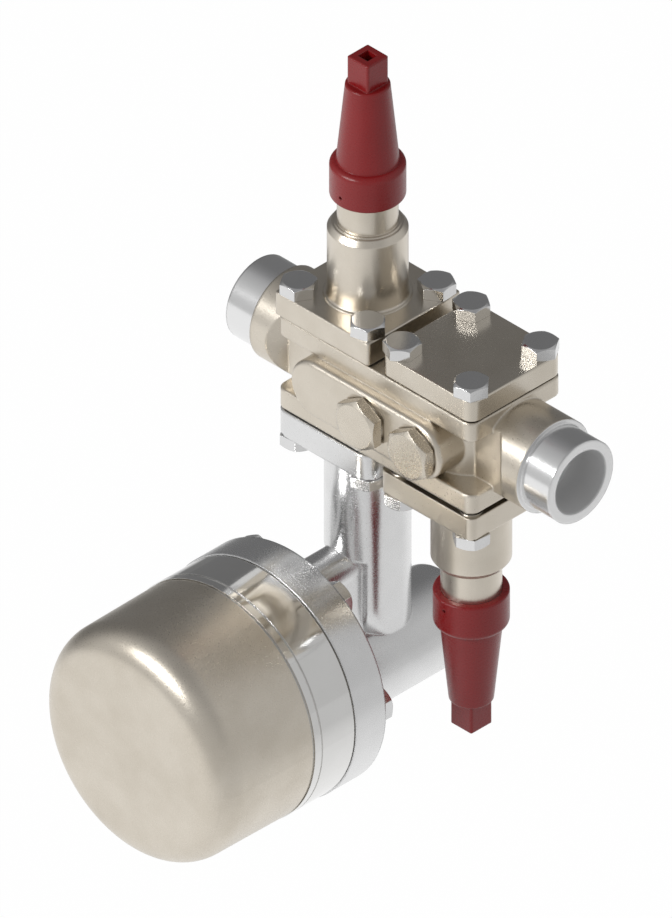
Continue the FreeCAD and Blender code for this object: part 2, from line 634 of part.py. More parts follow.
def stop_valve(port, size, corner, joint, axis, face, turn):
    def seated(name, thing):
        node(port + "_valve_" + name, place(thing, axis, "0", face, turn))

    top = "%s + bonnet_plate" % joint
    foot = top + " + foot_rise"
    collar = "bonnet_height + collar_height"
    flange = plate(port + "_flange", size, size, corner, joint, top, broken=("top",))
    barrel = turned(port + "_barrel", [
        ("0", joint + " + 1"), ("bonnet_radius + foot_ring", joint + " + 1"),
        ("bonnet_radius + foot_ring", foot), ("bonnet_radius", foot),
        ("bonnet_radius", "bonnet_height - bonnet_bevel"),
        ("bonnet_radius - 0.7 * bonnet_bevel", "bonnet_height"),
        ("neck_radius + collar_width", "bonnet_height"), ("neck_radius + collar_width", collar),
        ("neck_radius", collar), ("neck_radius", "neck_top - 1"), ("neck_radius - 1", "neck_top"),
        ("0", "neck_top")])
    register = rod(port + "_register", "Z", "register_radius + register_width", "gasket_thickness",
                   joint + " + 1", "0", "0")
    bonnet = rounded(port + "_bonnet_body", joined(port + "_bonnet_blank", flange, barrel, register),
                     "casting_fillet", ring_edge("bonnet_radius", foot))
    bores = [
        rod(port + "_relief", "Z", "register_radius - 2", "0", "thread_start + 4", "0", "0"),
        rod(port + "_nut_thread", "Z", "thread_bore + running_gap", "0",
            "thread_start + thread_length + 1", "0", "0"),
        rod(port + "_shank_bore", "Z", "shank_radius + running_gap", "0", "neck_top + 1", "0", "0"),
        rod(port + "_packing_bore", "Z", "packing_radius", "packing_foot", "neck_top + 1", "0", "0"),
    ]
    for number_of, x_step, y in bolt_places():
        bores.append(rod("%s_bonnet_hole_%d" % (port, number_of), "Z", "bolt_radius + bolt_play", "0",
                         top + " + 1", "0 " + x_step, y))
    seated("bonnet", cut(port + "_bonnet", bonnet, *bores))

    ring_hole = rod(port + "_gasket_opening", "Z", "register_radius", "-1", "2", "0", "0")
    if port == "inlet":
        seated("gasket", gasket(port + "_gasket", size, corner, axis, [ring_hole]))
    else:
        seated("gasket", turned(port + "_gasket_ring", [
            ("register_radius", "0"), ("register_radius + register_width", "0"),
            ("register_radius + register_width", "gasket_thickness"),
            ("register_radius", "gasket_thickness")]))

    cone_foot = "valve_lift - housing_half - seat_level"
    cone_top = cone_foot + " + cone_height"
    tip_foot = cone_foot + " + cone_floor"
    tip_top = tip_foot + " + tip_height"
    screw = turned(port + "_screw", [
        ("0", tip_foot), ("cone_tip", tip_foot), ("cone_tip", tip_top), ("cone_neck", tip_top),
        ("cone_neck", cone_top + " + 0.5"), ("shank_radius", cone_top + " + 0.5"),
        ("shank_radius", "thread_start"), ("thread_bore", "thread_start"),
        ("thread_bore", "thread_start + thread_length"), ("shank_radius", "thread_start + thread_length"),
        ("shank_radius", "shank_top"), ("0", "shank_top")])
    half = "square_side / 2"
    square = block(port + "_square", ("0 - " + half, half), ("0 - " + half, half),
                   ("shank_top - 1", "shank_top + square_length"))
    seated("spindle", joined(port + "_spindle", screw, square))

    slot_inner = "cone_radius - cone_rim - seal_width"
    slot_outer = "cone_radius - cone_rim"
    seated("cone", turned(port + "_cone", [
        ("0", cone_foot), (slot_inner, cone_foot), (slot_inner, cone_foot + " + seal_height"),
        (slot_outer, cone_foot + " + seal_height"), (slot_outer, cone_foot), ("cone_radius", cone_foot),
        ("cone_radius", cone_top + " - cone_bevel"), ("cone_radius - cone_bevel", cone_top),
        ("cone_neck + cone_play", cone_top), ("cone_neck + cone_play", tip_top + " + cone_play"),
        ("cone_tip + cone_play", tip_top + " + cone_play"),
        ("cone_tip + cone_play", tip_foot + " - " + HUNDREDTH), ("0", tip_foot + " - " + HUNDREDTH)]))
    seated("cone_seal", turned(port + "_cone_seal", [
        (slot_inner, cone_foot), (slot_outer, cone_foot), (slot_outer, cone_foot + " + seal_height"),
        (slot_inner, cone_foot + " + seal_height")]))
    seated("packing", turned(port + "_packing", [
        ("shank_radius + running_gap", "packing_foot"), ("packing_radius", "packing_foot"),
        ("packing_radius", "packing_foot + packing_height"),
        ("shank_radius + running_gap", "packing_foot + packing_height")]))
    gland_foot = "packing_foot + packing_height"
    seated("gland", turned(port + "_gland", [
        ("shank_radius + running_gap", gland_foot), ("packing_radius", gland_foot),
        ("packing_radius", gland_foot + " + gland_height - 1"),
        ("packing_radius - 1", gland_foot + " + gland_height"),
        ("shank_radius + running_gap", gland_foot + " + gland_height")]))

    skirt_top = "cap_foot + skirt_height"
    cone_end = skirt_top + " + cap_cone_height"
    outside = turned(port + "_cap_outside", [
        ("0", "cap_foot"), ("skirt_radius", "cap_foot"), ("skirt_radius", skirt_top),
        ("cap_foot_radius", skirt_top), ("cap_neck_radius", cone_end), ("0", cone_end)])
    dressed(outside, "Fillet", port + "_cap_shoulder", "cap_shoulder", ring_edge("skirt_radius", skirt_top))
    open_edge = ring_edge("skirt_radius", "cap_foot")
    far_edge = ring_edge("cap_neck_radius", cone_end)
    dressed(outside, "Fillet", port + "_cap_edges", "cap_shoulder / 3",
            lambda edge: open_edge(edge) or far_edge(edge))
    wrench = plate(port + "_cap_square", "cap_square", "cap_square", "cap_square_rounding", skirt_top,
                   cone_end + " + cap_square_height")
    dressed(wrench, "Chamfer", port + "_cap_square_top", "cap_square_rounding / 2",
            level_edge("Z", "cap_cone_height + cap_square_height"))
    cavity = turned(port + "_cap_cavity", [
        ("0", "cap_foot - 1"), ("neck_radius + running_gap", "cap_foot - 1"),
        ("neck_radius + running_gap", "neck_top + washer_height"),
        ("cap_cavity_radius", "neck_top + washer_height"), ("cap_cavity_radius", "cap_cavity_top - 3"),
        ("cap_cavity_radius - 3", "cap_cavity_top"), ("0", "cap_cavity_top")])
    key = "cap_socket / 2"
    square_end = cone_end + " + cap_square_height"
    socket = block(port + "_cap_socket", ("0 - " + key, key), ("0 - " + key, key),
                   (square_end + " - cap_socket_depth", square_end + " + 1"))
    wire_hole = rod(port + "_wire_hole", "Y", "wire_hole_radius", "0 - skirt_radius - 1",
                    "0 - neck_radius + 1", "0", "cap_foot + wire_hole_rise")
    seated("cap", cut(port + "_cap", joined(port + "_cap_body", outside, wrench), cavity, socket, wire_hole))
    seated("cap_washer", turned(port + "_cap_washer", [
        ("packing_radius + 0.5", "neck_top"), ("neck_radius - 1", "neck_top"),
        ("neck_radius - 1", "neck_top + washer_height"),
        ("packing_radius + 0.5", "neck_top + washer_height")]))


UPWARD = FreeCAD.Rotation()
DOWNWARD = FreeCAD.Rotation(FreeCAD.Vector(0, 1, 0), 180)
stop_valve("inlet", "inlet_flange", "inlet_corner", "gasket_thickness", INLET_AXIS, "housing_half",
           UPWARD)
stop_valve("outlet", "outlet_flange", "outlet_corner", "outlet_gap", OUTLET_AXIS, "0 - housing_half",
           DOWNWARD)
node("inlet_valve_bolts", bolt_set("inlet_bolts", cover_bolt, INLET_AXIS,
                                   "housing_half + gasket_thickness + bonnet_plate", False, (2, 14, 33, 47)))
outlet_bolt = bolt("outlet_bolt", "bolt_flats", "bolt_head", "bolt_radius",
                   "bolt_grip + outlet_gap + bonnet_plate")
node("outlet_valve_bolts", bolt_set("outlet_bolts", outlet_bolt, OUTLET_AXIS,
                                    "0 - housing_half - outlet_gap - bonnet_plate", True, (9, 25, 41, 3)))


# Check valve: a plain cover over a drilled insert, a sprung disc and its spring.
def check_valve():
    cover_foot = "gasket_thickness"
    cover_top = cover_foot + " + cover_height"
    blank = plate("check_cover_plate", "cover_size", "cover_size", "cover_corner", cover_foot, cover_top,
                  broken=("top", "bottom"))
    recess = rod("check_cover_recess", "Z", "cover_recess_radius", "0", cover_foot + " + cover_recess",
                 "0", "0")
    holes = []
    for turn, x_step, y in bolt_places():
        holes.append(rod("check_cover_hole_%d" % turn, "Z", "bolt_radius + bolt_play", "0",
                         cover_top + " + 1", "0 " + x_step, y))
    cover = cut("check_cover", blank, recess, *holes)
    node("check_valve_cover", place(cover, OUTLET_AXIS, "0", "housing_half"))
    opening = rod("check_gasket_opening", "Z", "register_radius", "-1", "2", "0", "0")
    flat = gasket("check_gasket", "cover_size", "cover_corner", OUTLET_AXIS, [opening])
    node("check_valve_gasket", place(flat, OUTLET_AXIS, "0", "housing_half"))
    bolt_of_cover = bolt("check_bolt", "bolt_flats", "bolt_head", "bolt_radius",
                         "bolt_grip + gasket_thickness + cover_height")
    head_seat = "housing_half + gasket_thickness + cover_height"
    node("check_valve_bolts", bolt_set("check_bolts", bolt_of_cover, OUTLET_AXIS, head_seat, False,
                                       (38, 12, 4, 27)))

    height = "housing_half - insert_level"
    outer = "chamber_radius - running_gap"
    groove = "gallery_rise - insert_level"
    low = groove + " - gallery_radius"
    high = groove + " + insert_way_in + 0.4"
    shell = turned("check_insert_shell", [
        ("insert_seat_radius", "insert_floor"), ("insert_mouth_radius", "insert_floor"),
        ("insert_mouth_radius", "0"), (outer, "0"), (outer, low), (outer + " - insert_groove", low),
        (outer + " - insert_groove", high), (outer, high), (outer, height), ("insert_cup_radius", height),
        ("insert_cup_radius", "insert_cup"), ("insert_seat_radius", "insert_cup")])
    floor = rod("check_insert_floor", "Z", "insert_seat_radius + insert_web", "insert_floor",
                "insert_floor + insert_web", "0", "0")
    reach = "chamber_radius - insert_groove / 2"
    ways = [rod("check_way_x", "X", "insert_way_in", "0 - " + reach, reach, "0", groove),
            rod("check_way_y", "Y", "insert_way_in", "0 - " + reach, reach, "0", groove)]
    across = "(insert_seat_radius + insert_mouth_radius + insert_way_out) / 2 / sqrt(2)"
    for turn, (x_sign, y_sign) in enumerate([("-", "-"), ("+", "-"), ("+", "+"), ("-", "+")]):
        ways.append(rod("check_way_out_%d" % turn, "Z", "insert_way_out", "-1", "insert_cup + 1",
                        "0 %s %s" % (x_sign, across), "0 %s %s" % (y_sign, across)))
    insert = cut("check_insert", joined("check_insert_body", shell, floor), *ways)
    node("check_valve_insert", place(insert, OUTLET_AXIS, "0", "insert_level"))

    seat = "insert_level + insert_cup"
    disc = turned("check_disc", [
        ("0", HUNDREDTH), ("disc_radius", HUNDREDTH), ("disc_radius", "disc_height"),
        ("stem_radius", "disc_height"), ("stem_radius", "disc_height + disc_lift"),
        ("0", "disc_height + disc_lift")])
    node("check_valve_disc", place(disc, OUTLET_AXIS, "0", seat))
    length = "housing_half + gasket_thickness + cover_recess - insert_level - insert_cup - disc_height"
    coil = doc.addObject("Part::Helix", "check_spring_line")
    bind(coil, Height="(%s) - 2 * spring_wire - 0.1" % length, Radius="spring_radius",
         Pitch="((%s) - 2 * spring_wire - 0.1) / spring_turns" % length)
    wire = doc.addObject("Part::Circle", "check_spring_wire")
    bind(wire, Radius="spring_wire")
    place(wire, "spring_radius", "0", "0", FreeCAD.Rotation(FreeCAD.Vector(1, 0, 0), 90))
    sweep = doc.addObject("Part::Sweep", "check_spring")
    sweep.Sections = [wire]
    sweep.Spine = coil
    sweep.Solid = True
    sweep.Frenet = True
    node("check_valve_spring", place(sweep, OUTLET_AXIS, "0", seat + " + disc_height + spring_wire + 0.05"))


check_valve()


# Side plugs: two hexagon plugs with sealing washers on the front belt.
def side_plug(name, x):
    plug = bolt(name + "_body", "plug_flats", "plug_head - plug_washer", "plug_thread", "plug_length")
    forward = FreeCAD.Rotation(FreeCAD.Vector(1, 0, 0), 90)
    spin = FreeCAD.Rotation(FreeCAD.Vector(0, 0, 1), 30)
    node(name, place(plug, x, "0 - belt_reach - plug_washer", "0", forward.multiply(spin)))
    washer = turned(name + "_ring", [
        ("plug_thread + 0.3", "0"), ("plug_flats / 2 - 0.4", "0"), ("plug_flats / 2 - 0.4", "plug_washer"),
        ("plug_thread + 0.3", "plug_washer")])
    node(name + "_washer", place(washer, x, "0 - belt_reach", "0", forward))


side_plug("service_plug", MIDDLE)
side_plug("outlet_side_plug", OUTLET_AXIS)


# Float drain casting: flange, two riser tubes, elbow, web, barrel and round float flange.
def drain_casting():
    flange_top = "0 - housing_half - gasket_thickness"
    flange_foot = flange_top + " - drain_plate"
    float_axis = "0 - float_drop"
    barrel_axis = "0 - barrel_drop"
    front = "0 - riser_offset"
    back = "riser_offset"
    face = "0 - float_flange_face"
    rear = "0 - float_flange_back"
    barrel_blank = rod("barrel_blank", "Y", "barrel_radius", rear + " - 2", "barrel_end", INLET_AXIS,
                       barrel_axis)
    barrel = rounded("barrel", barrel_blank, "barrel_rounding", level_edge("Y", "barrel_end"))
    back_riser = rod("back_riser", "Z", "riser_radius", barrel_axis, flange_foot + " + 1", INLET_AXIS, back)
    tee = joined("barrel_tee", barrel, back_riser)
    connection = joined(
        "connection_tee",
        rod("front_riser", "Z", "riser_radius", "0 - neck_drop", flange_foot + " + 1", INLET_AXIS, front),
        rod("float_connection", "Y", "connection_radius", rear + " - 2", back, INLET_AXIS, "0 - neck_drop"))
    solids = [
        plate("drain_flange_plate", "drain_flange", "drain_flange", "drain_corner", flange_foot, flange_top,
              INLET_AXIS, broken=("top", "bottom")),
        block("riser_web", (INLET_AXIS + " - web_half", INLET_AXIS + " + web_half"), (front, back),
              ("0 - neck_drop", flange_foot + " + 1")),
        block("lower_web", (INLET_AXIS + " - web_half", INLET_AXIS + " + web_half"), (rear + " - 2", back),
              (barrel_axis, "0 - neck_drop")),
        rod("float_flange", "Y", "float_flange_radius", face, rear, INLET_AXIS, float_axis),
    ]
    spaces = [
        rod("front_riser_bore", "Z", "riser_bore", "0 - neck_drop", flange_top + " + 1", INLET_AXIS, front),
        mitre("elbow_bore", "riser_bore", INLET_AXIS, front, "0 - neck_drop"),
        rod("float_neck_bore", "Y", "riser_bore", face + " - 1", front, INLET_AXIS, "0 - neck_drop"),
        rod("back_riser_bore", "Z", "riser_bore", barrel_axis, flange_top + " + 1", INLET_AXIS, back),
        rod("barrel_cavity", "Y", "barrel_bore", rear, "barrel_end - barrel_floor", INLET_AXIS, barrel_axis),
        rod("barrel_mouth", "Y", "seat_bore", face + " - 1", rear + " + 1", INLET_AXIS, barrel_axis),
        bolt_holes("drain_bolt_holes", INLET_AXIS, "bolt_radius + bolt_play", flange_foot + " - 1",
                   flange_top + " + 1"),
    ]
    for turn in range(6):
        spaces.append(float_bolt_rod("float_flange_hole_%d" % turn, turn, "bolt_radius + bolt_play",
                                     face + " - 1", rear + " + 1"))
    for mark, side in SIDES:
        spaces.append(rod("bracket_thread_" + mark, "Y", "screw_radius + running_gap", face + " - 1",
                          face + " + screw_grip + 2", INLET_AXIS + " %s (%s)" % (side, SCREW_X), SCREW_Z))
    hollow = joined("drain_spaces", *spaces)
    blended = rounded("blended_tee", cut("hollow_tee", tee, hollow), "barrel_blend", saddle_edge())
    eased = rounded("eased_connection", cut("hollow_connection", connection, hollow), "connection_blend",
                    connection_edge())
    rest = cut("drain_rest", joined("drain_solids", *solids), hollow)
    body = joined("drain_body", rest, blended, eased)
    body.Refine = False
    node("drain_casting", body)
    opening = [rod("drain_gasket_front", "Z", "riser_bore", "-1", "2", "0", "0 - riser_offset"),
               rod("drain_gasket_back", "Z", "riser_bore", "-1", "2", "0", "riser_offset")]
    flat = gasket("drain_gasket_body", "drain_flange", "drain_corner", INLET_AXIS, opening)
    node("drain_gasket", place(flat, INLET_AXIS, "0", flange_top))
    under_bolt = bolt("drain_bolt", "bolt_flats", "bolt_head", "bolt_radius",
                      "bolt_grip + gasket_thickness + drain_plate")
    node("drain_bolts", bolt_set("drain_bolt_set", under_bolt, INLET_AXIS, flange_foot, True,
                                 (5, 19, 36, 50)))


def saddle_edge():
    """A test for the curve where the back riser tube meets the barrel."""
    middle = number(INLET_AXIS)
    back = number("riser_offset")
    reach = number("riser_radius")
    low = number("barrel_radius / 2 - barrel_drop")
    high = number("barrel_radius + 1 - barrel_drop")

    def chosen(edge):
        box = edge.BoundBox
        round_tube = abs(box.XMax - middle - reach) < 0.1 or abs(box.YMax - back - reach) < 0.1
        return round_tube and low < box.ZMin and box.ZMax < high
    return chosen


def connection_edge():
    """A test for the curve where the front riser tube stands on the float connection."""
    middle = number(INLET_AXIS)
    reach = number("riser_radius")
    level = number("0 - neck_drop")

    def chosen(edge):
        box = edge.BoundBox
        wide = abs(box.XMax - middle - reach) < 0.1 or abs(middle - box.XMin - reach) < 0.1
        return wide and level + 1 < box.ZMin and box.ZMax < level + number("connection_radius") + 1
    return chosen


def float_bolt_rod(name, turn, radius, start, stop):
    """One of six rods on the float flange's bolt circle, the first on the +X side."""
    step = "%d" % (60 * turn)
    x = INLET_AXIS + " + float_bolt_circle * cos(%s deg)" % step
    z = "0 - float_drop + float_bolt_circle * sin(%s deg)" % step
    return rod(name, "Y", radius, start, stop, x, z)


SIDES = (("left", "-"), ("right", "+"))
SCREW_X = "slide_half + running_gap + cheek_wall + foot_reach / 2"
SCREW_Z = "0 - float_drop - pivot_below"
drain_casting()


# Float chamber: clamp ring, gasket, cover and six bolts through the flange.
# The turned pieces are drawn upright: their height is the distance in front of the port axis.
FORWARD = FreeCAD.Rotation(FreeCAD.Vector(1, 0, 0), 90)


def float_chamber():
    face = "float_flange_face"
    foot = face + " + gasket_thickness"
    flat = turned("float_gasket_body", [
        ("ring_bore", face), ("ring_radius - gasket_margin", face),
        ("ring_radius - gasket_margin", foot), ("ring_bore", foot)])
    holes = []
    threads = []
    bolts = []
    flange_bolt = bolt("flange_bolt", "bolt_flats", "bolt_head", "bolt_radius",
                       "float_flange_face - float_flange_back + gasket_thickness + ring_grip")
    for turn in range(6):
        holes.append(float_bolt_rod("float_gasket_hole_%d" % turn, turn, "bolt_radius + bolt_play",
                                    "0 - (%s) - 1" % foot, "1 - " + face))
        threads.append(float_bolt_rod("float_ring_thread_%d" % turn, turn, "bolt_radius + running_gap",
                                      "0 - (%s) - ring_grip - bolt_room" % foot, "1 - " + face))
        backward = FreeCAD.Rotation(FreeCAD.Vector(1, 0, 0), -90)
        spin = FreeCAD.Rotation(FreeCAD.Vector(0, 0, 1), 30)
        bolts.append(copy_of("flange_bolt_%d" % turn, flange_bolt,
                             INLET_AXIS + " + float_bolt_circle * cos(%d deg)" % (60 * turn),
                             "0 - float_flange_back",
                             "0 - float_drop + float_bolt_circle * sin(%d deg)" % (60 * turn),
                             backward.multiply(spin)))
    place(flat, INLET_AXIS, "0", "0 - float_drop", FORWARD)
    node("float_chamber_gasket", cut("float_gasket", flat, *holes))
    node("float_chamber_bolts", grouped("flange_bolts", bolts))

    thick_end = foot + " + ring_length"
    groove = "ring_end - groove_place"
    rim = "ring_end + seam_width"
    ring = turned("float_ring_body", [
        ("ring_bore", foot), ("ring_radius", foot), ("ring_radius", groove + " - groove_width"),
        ("ring_radius - groove_depth", groove + " - groove_width"), ("ring_radius - groove_depth", groove),
        ("ring_radius", groove), ("ring_radius", "ring_end"),
        ("ring_radius - seam_depth", "ring_end"), ("ring_radius - seam_depth", rim),
        ("dome_inside - running_gap", rim), ("dome_inside - running_gap", rim + " + spigot_length"),
        ("dome_inside - dome_wall", rim + " + spigot_length"),
        ("dome_inside - dome_wall", thick_end + " + ring_shoulder"), ("ring_bore", thick_end)])
    place(ring, INLET_AXIS, "0", "0 - float_drop", FORWARD)
    node("float_chamber_ring", cut("float_ring", ring, *threads))

    inner_front = "dome_front - dome_wall"
    cover = turned("float_cover_body", [
        ("dome_inside", rim), ("dome_radius", rim), ("dome_end_radius", "dome_front"), ("0", "dome_front"),
        ("0", inner_front), ("dome_inside - dome_taper", inner_front)])
    dressed(cover, "Fillet", "float_cover_outside", "dome_rounding",
            ring_edge("dome_end_radius", "dome_front"))
    dressed(cover, "Fillet", "float_cover_inside", "dome_rounding - dome_wall",
            ring_edge("dome_inside - dome_taper", inner_front))
    node("float_chamber_cover", place(cover, INLET_AXIS, "0", "0 - float_drop", FORWARD))


float_chamber()


# Float mechanism: hollow ball on a lever, bracket with pivot pin, slide and drain seat.
def float_mechanism():
    pivot_y = "0 - pivot_reach"
    pivot_z = "0 - float_drop - pivot_below"
    ball_y = "0 - ball_reach"
    ball_z = "0 - float_drop - ball_below"
    shell = ball("ball_shell", "ball_radius", INLET_AXIS, ball_y, ball_z)
    hollow = ball("ball_hollow", "ball_radius - ball_wall", INLET_AXIS, ball_y, ball_z)
    node("float_ball", cut("float_ball_body", shell, hollow))

    width = ("0 - lever_half", "lever_half")
    hub = rod("lever_hub", "X", "hub_radius", *width, "0", "0")
    arm = bar("lever_arm", "pivot_reach - ball_reach", "pivot_below - ball_below", "arm_half", "lever_half")
    nose_y = "lever_nose * cos(nose_angle)"
    nose_z = "lever_nose * sin(nose_angle)"
    short = bar("lever_short_arm", nose_y, nose_z, "short_arm_half", "lever_half")
    nose = rod("lever_nose_end", "X", "nose_radius", *width, nose_y, nose_z)
    blank = joined("lever_blank", hub, arm, short, nose)
    place(blank, INLET_AXIS, pivot_y, pivot_z)
    seat_of_ball = ball("lever_ball_seat", "ball_radius", INLET_AXIS, ball_y, ball_z)
    inner = "(slide_half + running_gap)"
    outer = "(slide_half + running_gap + cheek_wall)"
    across = (INLET_AXIS + " - " + outer, INLET_AXIS + " + " + outer)
    eye = rod("lever_eye", "X", "pin_radius + running_gap", *across, pivot_y, pivot_z)
    node("float_lever", cut("float_lever_body", blank, seat_of_ball, eye))

    low = pivot_z + " - cheek_drop"
    high = pivot_z + " + cheek_rise"
    face = "0 - float_flange_face"
    end = "0 - pivot_reach - hub_radius"
    floor = (low + " - bracket_floor", low)
    pieces = [block("bracket_floor_plate", across, ("hub_radius - pivot_reach", face), floor)]
    holes = [rod("bracket_pin_hole", "X", "pin_radius", *across, pivot_y, pivot_z)]
    screws = []
    for mark, side in SIDES:
        near = INLET_AXIS + " %s (%s)" % (side, inner)
        far = INLET_AXIS + " %s (%s)" % (side, outer)
        tip = INLET_AXIS + " %s (%s + foot_reach)" % (side, outer)
        cheek = (near, far) if side == "+" else (far, near)
        foot = (near, tip) if side == "+" else (tip, near)
        pieces.append(block("bracket_cheek_" + mark, cheek, (end, face), (floor[0], high)))
        pieces.append(block("bracket_foot_" + mark, foot, (face + " - foot_plate", face),
                            (pivot_z + " - foot_drop", high)))
        x = INLET_AXIS + " %s (%s)" % (side, SCREW_X)
        holes.append(rod("bracket_hole_" + mark, "Y", "screw_radius + screw_play",
                         face + " - foot_plate - 1", face + " + 1", x, SCREW_Z))
        screw = turned("bracket_screw_" + mark, [
            ("0", "0 - screw_grip"), ("screw_radius", "0 - screw_grip"), ("screw_radius", "foot_plate"),
            ("1.75 * screw_radius", "foot_plate"), ("1.75 * screw_radius", "foot_plate + screw_head"),
            ("0", "foot_plate + screw_head")])
        screws.append(place(screw, x, face, SCREW_Z, FORWARD))
    node("lever_bracket", cut("bracket", joined("bracket_body", *pieces), *holes))
    node("bracket_screws", grouped("bracket_screw_pair", screws))
    node("pivot_pin", rod("pivot_pin_body", "X", "pin_radius", *across, pivot_y, pivot_z))

    barrel_axis = "0 - barrel_drop"
    seat = turned("drain_seat_body", [
        ("orifice_radius", "0 - seat_spigot"), ("seat_bore", "0 - seat_spigot"), ("seat_bore", "0"),
        ("slide_half", "0"),
        ("slide_half", "seat_plate"), ("orifice_radius", "seat_plate")])
    node("drain_seat", place(seat, INLET_AXIS, face, barrel_axis, FORWARD))

    plate_face = face + " - seat_plate - running_gap"
    plate_back = plate_face + " - slide_plate"
    nose_y = "0 - pivot_reach + " + nose_y
    nose_z = pivot_z + " + " + nose_z
    nose_top = nose_z + " + nose_radius + lug_play"
    nose_foot = nose_z + " - nose_radius - lug_play"
    span = (INLET_AXIS + " - slide_half", INLET_AXIS + " + slide_half")
    lug = (INLET_AXIS + " - lever_half", INLET_AXIS + " + lever_half")
    slide = joined("slide_blank",
                   block("slide_plate_body", span, (plate_back, plate_face),
                         (barrel_axis + " - slide_height / 2 - 1", barrel_axis + " + slide_height / 2")),
                   block("slide_upper_lug", lug, (nose_y + " - nose_radius", plate_face),
                         (nose_top, nose_top + " + lug_height")),
                   block("slide_lower_lug", lug, (nose_y + " - nose_radius", plate_face),
                         (nose_foot + " - lug_height", nose_foot)))
    window = rod("slide_window", "Y", "orifice_radius", plate_back + " - 9", plate_face + " + 1", INLET_AXIS,
                 barrel_axis + " + slide_travel")
    node("drain_slide", cut("slide_body", slide, window))


float_mechanism()


# Check every object, then write one file for each piece.
doc.recompute()
faults = [item.Name for item in doc.Objects if "Invalid" in item.State or "Error" in item.State]
if faults:
    raise SystemExit("failed objects: " + ", ".join(faults))
os.makedirs("parts", exist_ok=True)
for name, thing in NODES.items():
    shape = thing.Shape
    if shape.isNull() or not shape.isValid() or not shape.Solids:
        raise SystemExit("bad shape: " + name)
    shape.exportStep("parts/%s.step" % name)
    box = shape.BoundBox
    print("%-24s solids %d volume %9.1f mm3, x %.1f..%.1f y %.1f..%.1f z %.1f..%.1f" % (
        name, len(shape.Solids), shape.Volume, box.XMin, box.XMax, box.YMin, box.YMax, box.ZMin, box.ZMax))
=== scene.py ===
import math

import bmesh
import bpy
from mathutils import Matrix, Vector


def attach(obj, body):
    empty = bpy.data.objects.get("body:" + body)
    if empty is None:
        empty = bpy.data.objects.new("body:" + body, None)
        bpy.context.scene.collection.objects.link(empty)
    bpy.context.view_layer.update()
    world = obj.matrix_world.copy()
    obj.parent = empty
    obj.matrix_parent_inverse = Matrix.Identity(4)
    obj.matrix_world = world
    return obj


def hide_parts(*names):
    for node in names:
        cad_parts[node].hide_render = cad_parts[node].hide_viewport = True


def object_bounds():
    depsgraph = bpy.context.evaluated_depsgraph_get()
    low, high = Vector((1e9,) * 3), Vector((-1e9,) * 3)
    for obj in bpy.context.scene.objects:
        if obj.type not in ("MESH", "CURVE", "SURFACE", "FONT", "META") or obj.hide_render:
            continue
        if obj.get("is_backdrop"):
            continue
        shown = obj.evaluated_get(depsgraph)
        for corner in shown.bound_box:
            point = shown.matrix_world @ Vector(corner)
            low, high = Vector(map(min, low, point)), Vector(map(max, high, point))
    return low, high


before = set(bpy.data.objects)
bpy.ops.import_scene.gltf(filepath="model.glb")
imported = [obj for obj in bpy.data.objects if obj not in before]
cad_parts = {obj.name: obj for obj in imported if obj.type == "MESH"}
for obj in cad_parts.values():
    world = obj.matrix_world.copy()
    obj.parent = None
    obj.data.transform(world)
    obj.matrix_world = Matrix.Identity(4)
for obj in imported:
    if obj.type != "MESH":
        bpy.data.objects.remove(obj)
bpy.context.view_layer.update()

# The valve housing: one steel casting with the two weld ends, both port ledges and the
# front belt. It is blasted and coated, a warm grey with a fine grain. The weld ends and
# their bores are turned bright after coating.
COAT_LIGHT = (0.70, 0.645, 0.56)
COAT_SHADE = (0.63, 0.575, 0.49)
COAT_SPECK = (0.42, 0.38, 0.32)
MOTTLE_SIZE = 0.020
SPECK_SIZE = 0.0006
SPECK_SHARE = 0.12
BRIGHT = (0.80, 0.80, 0.80)
PIPE_MIDDLE = 0.105
MACHINED_FROM = 0.087
BORE_FROM = 0.072
BORE_RADIUS = 0.0168
BORE_METAL = 0.45
BORE_ROUGHNESS = 0.55
CAST_RELIEF = 0.00002
CAST_EDGE = 0.0017


def new_finish(name):
    """An empty finish: the material, its node tree, its shader and the piece's own coordinates."""
    material = bpy.data.materials.new(name)
    material.use_nodes = True
    tree = material.node_tree
    shader = tree.nodes["Principled BSDF"]
    place = tree.nodes.new("ShaderNodeTexCoord").outputs["Object"]
    return material, tree, shader, place


def grain(tree, place, size, detail=2.0, stretch=None):
    """Noise with lumps of about one size, in metres, drawn out by three factors where stretch is given."""
    if stretch:
        drawn = tree.nodes.new("ShaderNodeMapping")
        drawn.inputs["Scale"].default_value = stretch
        tree.links.new(place, drawn.inputs["Vector"])
        place = drawn.outputs["Vector"]
    noise = tree.nodes.new("ShaderNodeTexNoise")
    noise.inputs["Scale"].default_value = 1.0 / size
    noise.inputs["Detail"].default_value = detail
    tree.links.new(place, noise.inputs["Vector"])
    return noise.outputs["Fac"]


def spread(tree, amount, low, high, start=0.3, stop=0.7):
    """Stretch an amount from start..stop onto low..high."""
    node = tree.nodes.new("ShaderNodeMapRange")
    tree.links.new(amount, node.inputs["Value"])
    for name, value in (("From Min", start), ("From Max", stop), ("To Min", low), ("To Max", high)):
        node.inputs[name].default_value = value
    return node.outputs["Result"]


def reckon(tree, operation, first, second):
    """One step of arithmetic; each side is a number or another node's output."""
    node = tree.nodes.new("ShaderNodeMath")
    node.operation = operation
    for socket, side in zip(node.inputs, (first, second)):
        if isinstance(side, float):
            socket.default_value = side
        else:
            tree.links.new(side, socket)
    return node.outputs[0]


